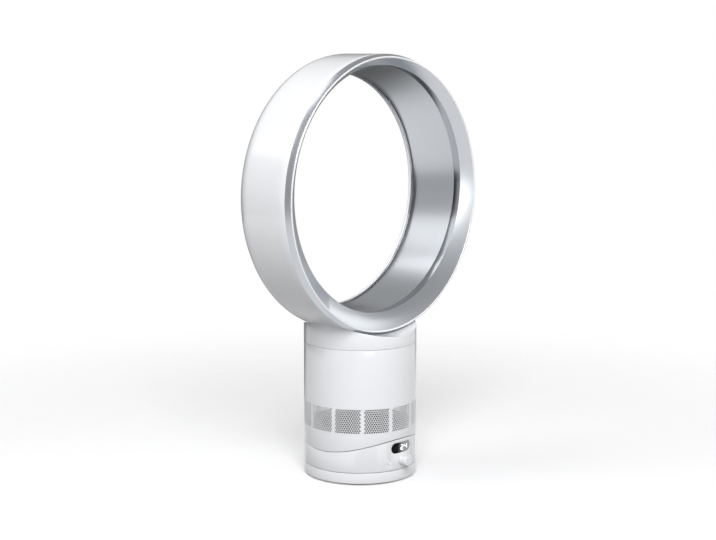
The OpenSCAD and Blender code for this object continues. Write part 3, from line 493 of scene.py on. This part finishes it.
# ---------------------------------------------------------------- the casing with its inlet band

STRIP_ANGLE = math.degrees(INLET_STRIP / BASE_R)
WINDOW_ANGLE = 360 / INLET_PANELS - STRIP_ANGLE
STEPS_IN_WINDOW, STEPS_IN_STRIP = 22, 2


def casing_angle(step):
    """Angle of the casing's upright edges, so that some fall on the sides of the inlet windows."""
    panel, k = divmod(step, STEPS_IN_WINDOW + STEPS_IN_STRIP)
    if k <= STEPS_IN_WINDOW:
        a = -WINDOW_ANGLE / 2 + k * WINDOW_ANGLE / STEPS_IN_WINDOW
    else:
        a = WINDOW_ANGLE / 2 + (k - STEPS_IN_WINDOW) * STRIP_ANGLE / STEPS_IN_STRIP
    return math.radians(panel * 360 / INLET_PANELS + a)


def make_casing():
    """The round casing with its inlet windows. Its lower edge follows the curved seam on which it tilts."""
    bm = bmesh.new()

    def circle(radius, height):
        verts = bmesh.ops.create_circle(bm, segments=BASE_SEGMENTS, radius=1)["verts"]
        for step, v in enumerate(verts):
            a = casing_angle(step)
            x, y = radius * math.sin(a), -radius * math.cos(a)
            v.co = (x, y, TILT_AXIS_Z - math.sqrt(CRADLE_R ** 2 - y * y) if height is None else height)
        return list({e for v in verts for e in v.link_edges})

    # None stands for the curved seam
    heights = [None, INLET_Z, INLET_Z + INLET_H, 125, 150, NECK_SEAM_Z]
    outer = [circle(BASE_R, h) for h in heights]
    inner = [circle(BORE_R, h) for h in reversed(heights)]
    loops = outer + inner
    for first, second in zip(loops, loops[1:] + loops[:1]):
        bmesh.ops.bridge_loops(bm, edges=first + second)
    half = math.radians(WINDOW_ANGLE / 2)
    pitch = 2 * math.pi / INLET_PANELS
    gone = []
    for face in bm.faces:
        centre = face.calc_center_median()
        if INLET_Z < centre.z < INLET_Z + INLET_H and abs(face.normal.z) < 0.1:
            a = math.atan2(centre.x, -centre.y)
            if abs((a + pitch / 2) % pitch - pitch / 2) < half:
                gone.append(face)
    bmesh.ops.delete(bm, geom=gone, context="FACES_ONLY")
    rims = [e for e in bm.edges if e.is_boundary]
    for panel in range(INLET_PANELS):
        middle = math.radians(panel * 360 / INLET_PANELS)
        towards = Vector((math.sin(middle), -math.cos(middle)))
        own = [e for e in rims if (e.verts[0].co + e.verts[1].co).to_2d().angle(towards) < half + 0.01]
        bmesh.ops.bridge_loops(bm, edges=own)
    soften(bm, outer[0] + outer[-1], 0.3)
    put("casing_shell", bm, "tilting_body", "main_casing")


make_casing()

# The real holes are about 1.5 mm across; they are drawn coarser, so that they show in the render
HOLE_ROWS, HOLE_COLUMNS = 12, 11
HOLE_R = 1.18
ROW_PITCH = 2.62
COLUMN_PITCH = ROW_PITCH / math.cos(math.radians(30))
MESH_T = 0.6


def make_inlet_panels():
    """Twelve curved panels with staggered round holes: flat hexagonal cells with a hole each, which are
    then bent round the base."""
    width = math.radians(WINDOW_ANGLE) * BASE_R
    flat = bmesh.new()
    left = -(HOLE_COLUMNS - 0.5) / 2 * COLUMN_PITCH
    centres = []
    for row in range(HOLE_ROWS):
        z = (row - (HOLE_ROWS - 1) / 2) * ROW_PITCH
        for column in range(HOLE_COLUMNS):
            x = left + (column + (0.5 if row % 2 else 0)) * COLUMN_PITCH
            centres.append((x, z))
            verts = bmesh.ops.create_circle(flat, cap_ends=True, segments=12, radius=1)["verts"]
            for v in verts:
                a = math.atan2(v.co.y, v.co.x)
                at_corner = round(math.degrees(a) / 30) % 2
                reach = COLUMN_PITCH / (math.sqrt(3) if at_corner else 2)
                px, pz = x + reach * math.cos(a), z + reach * math.sin(a)
                if column == 0 and px < x - 0.1:
                    px = -width / 2
                if column == HOLE_COLUMNS - 1 and px > x + 0.1:
                    px = width / 2
                if row == 0 and pz < z - 0.1:
                    pz = -INLET_H / 2
                if row == HOLE_ROWS - 1 and pz > z + 0.1:
                    pz = INLET_H / 2
                v.co = (px, 0, pz)
    bmesh.ops.remove_doubles(flat, verts=flat.verts, dist=0.02)
    cells = list(flat.faces)
    bmesh.ops.inset_individual(flat, faces=cells, thickness=0.1)
    for face in cells:
        middle = face.calc_center_median()
        x, z = min(centres, key=lambda c: (c[0] - middle.x) ** 2 + (c[1] - middle.z) ** 2)
        for v in face.verts:
            a = math.atan2(v.co.z - z, v.co.x - x)
            v.co = (x + HOLE_R * math.cos(a), 0, z + HOLE_R * math.sin(a))
    bmesh.ops.delete(flat, geom=cells, context="FACES_ONLY")
    for v in flat.verts:
        a = v.co.x / BASE_R
        v.co = (BASE_R * math.sin(a), -BASE_R * math.cos(a), v.co.z + INLET_Z + INLET_H / 2)
    front = list(flat.faces)
    wall = bmesh.ops.extrude_face_region(flat, geom=front)["geom"]
    for v in (g for g in wall if isinstance(g, bmesh.types.BMVert)):
        shrink = (BASE_R - MESH_T) / BASE_R
        v.co = (v.co.x * shrink, v.co.y * shrink, v.co.z)
    panel = bpy.data.meshes.new("panel")
    flat.to_mesh(panel)
    flat.free()
    for k in range(INLET_PANELS):
        bm = bmesh.new()
        bm.from_mesh(panel)
        bmesh.ops.rotate(bm, verts=bm.verts, cent=(0, 0, 0),
                         matrix=Matrix.Rotation(math.radians(k * 360 / INLET_PANELS), 3, "Z"))
        put(f"inlet_panel_{k + 1:02d}", bm, "tilting_body", "inlet_mesh", sharp=40)
    bpy.data.meshes.remove(panel)


make_inlet_panels()


# ---------------------------------------------------------------- base shells, copied from the CAD

def softened_copy(name, node, body, width):
    """A copy of a CAD node whose sharp edges are rounded, as a mould rounds them."""
    bm = bmesh.new()
    bm.from_mesh(frame["nodes"][node].data)
    bmesh.ops.scale(bm, vec=(1000,) * 3, verts=bm.verts)
    bmesh.ops.remove_doubles(bm, verts=bm.verts, dist=0.002)
    bmesh.ops.dissolve_limit(bm, angle_limit=math.radians(0.5), verts=bm.verts, edges=bm.edges)
    soften(bm, corners(bm, 40), width, 2)
    put(name, bm, body, node)


softened_copy("control_shell", "control_housing", "turning_base", 0.25)
softened_copy("foot_shell", "foot_plate", "foot", 0.25)


# ---------------------------------------------------------------- controls

def turned(profile, x, z, steps=64):
    """A shape turned about a front-to-back axis; the profile is given as (radius, forward)."""
    bm = bmesh.new()
    verts = [bm.verts.new((x + r, -f, z)) for r, f in profile]
    edges = [bm.edges.new(pair) for pair in zip(verts, verts[1:])]
    bmesh.ops.spin(bm, geom=verts + edges, cent=(x, 0, z), axis=(0, 1, 0), angle=2 * math.pi, steps=steps,
                   use_merge=True)
    bmesh.ops.remove_doubles(bm, verts=bm.verts, dist=0.0005)
    return bm


def make_dial():
    """The speed dial: a knob with a rounded rim and a ring-shaped groove in its face, on a stem."""
    def on_rim(v):
        return abs(math.hypot(v.co.x, v.co.z - CONTROLS_Z) - DIAL_R + 0.1) < 0.01

    face, back = BASE_R + DIAL_OUT, BASE_R + 0.5
    groove = face - 0.45
    stem_r, stem_end = 3, 59.5
    profile = [(0, face), (2.9, face), (2.95, groove), (3.35, groove), (3.4, face),
               (DIAL_R - 0.1, face), (DIAL_R, face - 4), (DIAL_R, back), (stem_r, back),
               (stem_r, stem_end), (0, stem_end)]
    bm = turned(profile, 0, CONTROLS_Z, 96)
    soften(bm, [e for e in corners(bm, 50) if all(on_rim(v) for v in e.verts)], 0.7, 5)
    put("dial_knob", bm, "dial", "speed_dial")


def make_button(name, body, node, side):
    """A push button with a shallow dish, whose face leans with the round wall."""
    def wall(x):
        return math.sqrt((BASE_R + BUTTON_OUT) ** 2 - x * x)

    x = side * BUTTON_X
    top = wall(x)
    flange_r, flange_front, flange_back = BUTTON_R + 1.2, top - 5, top - 6
    stem_r, stem_end = 1.2, 62.5
    dish = [(0, top - 0.5), (1, top - 0.46), (1.8, top - 0.3), (2.4, top - 0.1), (2.8, top)]
    sides = [(BUTTON_R - 0.15, top), (BUTTON_R, top - 0.25), (BUTTON_R, flange_front),
             (flange_r, flange_front), (flange_r, flange_back), (stem_r, flange_back),
             (stem_r, stem_end), (0, stem_end)]
    bm = turned(dish + sides, x, CONTROLS_Z, 48)
    for v in bm.verts:
        if -v.co.y > top - 1:
            v.co.y -= wall(v.co.x) - top
    put(name, bm, body, node, sharp=50)


make_dial()
make_button("power_key_cap", "power_key", "power_button", -1)
make_button("swing_key_cap", "oscillation_key", "oscillation_button", 1)


def curved_pill(width, height, z, radius, depth, rim):
    """A pill-shaped plate that follows the round wall, depth thick, with a rounded rim."""
    bm = bmesh.new()
    verts = bmesh.ops.create_circle(bm, cap_ends=True, segments=66, radius=height / 2)["verts"]
    for v in verts:
        v.co = (v.co.x + math.copysign((width - height) / 2, v.co.x), 0, v.co.y)
    # Upright cuts, so that the plate can bend
    step = 1.5
    x = -width / 2 + step
    while x < width / 2:
        everything = bm.verts[:] + bm.edges[:] + bm.faces[:]
        bmesh.ops.bisect_plane(bm, geom=everything, plane_co=(x, 0, 0), plane_no=(1, 0, 0))
        x += step
    front = list(bm.faces)
    back = bmesh.ops.extrude_face_region(bm, geom=front)["geom"]
    moved = {v for v in back if isinstance(v, bmesh.types.BMVert)}
    kept = set(bm.verts) - moved
    edge = [e for e in bm.edges if e.verts[0] in moved and e.verts[1] in moved
            and any(set(f.verts) & kept for f in e.link_faces)]
    for v in bm.verts:
        r = radius if v in moved else radius - depth
        v.co = (v.co.x, -math.sqrt(r * r - v.co.x ** 2), v.co.z + z)
    soften(bm, edge, rim)
    return bm


def make_window():
    """The display window and the wider flange behind it, which holds it in the wall."""
    lens = curved_pill(WINDOW_W - WINDOW_GAP, WINDOW_H - WINDOW_GAP, WINDOW_Z, BASE_R - WINDOW_SINK,
                       SHELL_T, 0.35)
    flange = curved_pill(WINDOW_W + 2.6, WINDOW_H + 1.4, WINDOW_Z, BORE_R, 1.2, 0.1)
    mesh = bpy.data.meshes.new("flange")
    flange.to_mesh(mesh)
    flange.free()
    lens.from_mesh(mesh)
    bpy.data.meshes.remove(mesh)
    put("window_lens", lens, "turning_base", "display_window")


make_window()


# The figures lie just over the window, because the acrylic is drawn opaque
FIGURE_LIFT = 0.06


def make_figures():
    """The lit number in the window: plain seven-segment figures."""
    tall, wide, bar = 6.0, 4.4, 1.3
    places = {"top": (0, tall / 2, wide, bar),
              "middle": (0, 0, wide, bar),
              "bottom": (0, -tall / 2, wide, bar),
              "upper_left": (-wide / 2, tall / 4, bar, tall / 2),
              "upper_right": (wide / 2, tall / 4, bar, tall / 2),
              "lower_left": (-wide / 2, -tall / 4, bar, tall / 2),
              "lower_right": (wide / 2, -tall / 4, bar, tall / 2)}
    # The figures by how far they stand to the right of the window's middle
    shown = {0: ("top", "upper_right", "middle", "lower_left", "bottom"),
             8: ("upper_left", "upper_right", "middle", "lower_right")}
    bm = bmesh.new()
    for shift, names in shown.items():
        for part in names:
            x, z, w, h = places[part]
            place = Matrix.Translation((x + shift, 0, z + WINDOW_Z))
            size = Matrix.Diagonal((max(w - 0.25, 0.55), 0.1, max(h - 0.25, 0.55), 1))
            cube = bmesh.ops.create_cube(bm, size=1, matrix=place @ size)["verts"]
            soften(bm, list({e for v in cube for e in v.link_edges}), 0.04, 1)
    for v in bm.verts:
        r = BASE_R - WINDOW_SINK + FIGURE_LIFT
        v.co.y = -math.sqrt(r * r - v.co.x ** 2) + v.co.y
    put("lit_figures", bm, "turning_base", None, segment_white)


make_figures()


# ---------------------------------------------------------------- floor and light

FLOOR_HALF = 6
FLOOR_DROP = 0.0005


def make_floor():
    """A pale floor, a hair below the fan's foot."""
    bm = bmesh.new()
    bmesh.ops.create_grid(bm, x_segments=1, y_segments=1, size=FLOOR_HALF)
    mesh = bpy.data.meshes.new("floor")
    bm.to_mesh(mesh)
    bm.free()
    floor = bpy.data.objects.new("floor", mesh)
    scene.collection.objects.link(floor)
    floor.location = (0, 0, -FLOOR_DROP)
    material, tree, shader, where = start_material(
        "pale_floor", {"Roughness": 0.9, "Emission Color": srgb("#FFFFFF"), "Specular IOR Level": 0.0})
    cloud = add(tree, "ShaderNodeTexNoise", {"Scale": 0.5}, {"Vector": where})
    tone = add(tree, "ShaderNodeMix", {"data_type": "RGBA", 6: srgb("#F4F4F5"), 7: srgb("#F8F8F9")},
               {0: cloud.outputs["Fac"]})
    # The floor fades out towards its edge, so that it meets the white surround without a line,
    # and it reaches further where it is mirrored in the part
    ray = add(tree, "ShaderNodeLightPath")
    mirrored = ray.outputs["Is Glossy Ray"]
    near = add(tree, "ShaderNodeMath", {"operation": "MULTIPLY_ADD", 1: 1.1, 2: 0.3}, {0: mirrored})
    far = add(tree, "ShaderNodeMath", {"operation": "MULTIPLY_ADD", 1: 0.8, 2: 1.1}, {0: mirrored})
    reach = add(tree, "ShaderNodeVectorMath", {"operation": "LENGTH"}, {0: where})
    fade = add(tree, "ShaderNodeMapRange",
               {"To Min": 1.0, "To Max": 0.0, "interpolation_type": "SMOOTHSTEP"},
               {"Value": reach.outputs["Value"], "From Min": near.outputs["Value"],
                "From Max": far.outputs["Value"]})
    # What the floor throws back onto the part is toned down, as if a grey cloth lay round it
    seen = add(tree, "ShaderNodeMix", {"data_type": "RGBA", 7: srgb("#848487")},
               {0: ray.outputs["Is Diffuse Ray"], 6: tone.outputs[2]})
    matt = add(tree, "ShaderNodeMix", {"data_type": "RGBA", 7: srgb("#000000")},
               {0: mirrored, 6: seen.outputs[2]})
    # The silver mirrors the floor as painted light: an even glow seen only in reflections, with a painted
    # shadow of the fan behind it on the right
    shadow_place = add(tree, "ShaderNodeSeparateXYZ", links={"Vector": where})
    right = add(tree, "ShaderNodeMapRange",
                {"From Min": 0.0, "From Max": 0.25, "interpolation_type": "SMOOTHSTEP"},
                {"Value": shadow_place.outputs["X"]})
    back = add(tree, "ShaderNodeMapRange",
               {"From Min": 0.12, "From Max": 0.38, "interpolation_type": "SMOOTHSTEP"},
               {"Value": shadow_place.outputs["Y"]})
    dark = add(tree, "ShaderNodeMath", {"operation": "MULTIPLY"},
               {0: right.outputs["Result"], 1: back.outputs["Result"]})
    # Painted shadow: the glow drops where the fan's shadow would lie
    mirrored_glow_and_shadow = add(tree, "ShaderNodeMapRange", {"To Min": 0.9, "To Max": 0.1},
                {"Value": dark.outputs["Value"]})
    seen_lit = add(tree, "ShaderNodeMath", {"operation": "MULTIPLY", 1: 0.16},
                   {0: ray.outputs["Is Camera Ray"]})
    glow = add(tree, "ShaderNodeMix", {"data_type": "FLOAT"},
               {0: mirrored, 2: seen_lit.outputs["Value"], 3: mirrored_glow_and_shadow.outputs["Result"]})
    tree.links.new(glow.outputs[0], shader.inputs["Emission Strength"])
    tree.links.new(fade.outputs["Result"], shader.inputs["Alpha"])
    tree.links.new(matt.outputs[2], shader.inputs["Base Color"])
    mesh.materials.append(material)


LIGHT_AIM = (0, 0, 0.3)

# Each soft light's name, place and side in metres, and power in watts
SOFT_BOXES = (
    ("key_box", (-1.32, -1.32, 1.65), 1.1, 38),
    ("front_left_box", (-1.14, -1.98, 0.6), 0.95, 6.2),
    ("front_box", (0, -2.29, 0.6), 0.95, 1.2),
    ("right_box", (1.98, -1.14, 0.6), 0.95, 3.6),
    ("side_box", (2.29, 0, 0.6), 0.95, 2),
    ("left_box", (-1.98, 1.14, 0.6), 0.95, 0.6),
    ("upper_left_box", (-1.45, 1.18, 1.65), 1.1, 4.0),
    ("back_box", (-0.5, 0.87, 2.37), 1.1, 6.0),
    ("upper_right_box", (1.9, -0.3, 1.75), 1.1, 1.6),
)


def soft_box(name, place, size, power):
    """A large square soft light at a place, turned towards the middle of the fan."""
    light = bpy.data.lights.new(name, "AREA")
    light.size = size
    light.energy = power
    lamp = bpy.data.objects.new(name, light)
    scene.collection.objects.link(lamp)
    lamp.location = place
    lamp.rotation_euler = (Vector(LIGHT_AIM) - Vector(place)).to_track_quat("-Z", "Y").to_euler()
    lamp.visible_camera = False


make_floor()
for box in SOFT_BOXES:
    soft_box(*box)

world = bpy.data.worlds.new("studio")
world.use_nodes = True
scene.world = world
sky = world.node_tree
sky.nodes.clear()
ray = add(sky, "ShaderNodeLightPath")
# The studio is dimmer low down behind the fan; the camera sees plain white everywhere
around = add(sky, "ShaderNodeTexCoord").outputs["Generated"]
towards = add(sky, "ShaderNodeSeparateXYZ", links={"Vector": around})
behind = add(sky, "ShaderNodeMapRange",
             {"From Min": 0.4, "From Max": 0.75, "interpolation_type": "SMOOTHSTEP"},
             {"Value": towards.outputs["Y"]})
low = add(sky, "ShaderNodeMapRange",
          {"From Min": 0.15, "From Max": 0.5, "To Min": 0.85, "To Max": 0.0,
           "interpolation_type": "SMOOTHSTEP"}, {"Value": towards.outputs["Z"]})
dimmed = add(sky, "ShaderNodeMath", {"operation": "MULTIPLY"},
             {0: behind.outputs["Result"], 1: low.outputs["Result"]})
unseen = add(sky, "ShaderNodeMapRange", {"To Min": 0.38, "To Max": 0.0}, {"Value": dimmed.outputs["Value"]})
level = add(sky, "ShaderNodeMix", {"data_type": "FLOAT", 3: 1.0},
            {0: ray.outputs["Is Camera Ray"], 2: unseen.outputs["Result"]})
background = add(sky, "ShaderNodeBackground", {"Color": (1, 1, 1, 1)}, {"Strength": level.outputs[0]})
add(sky, "ShaderNodeOutputWorld", links={"Surface": background.outputs["Background"]})
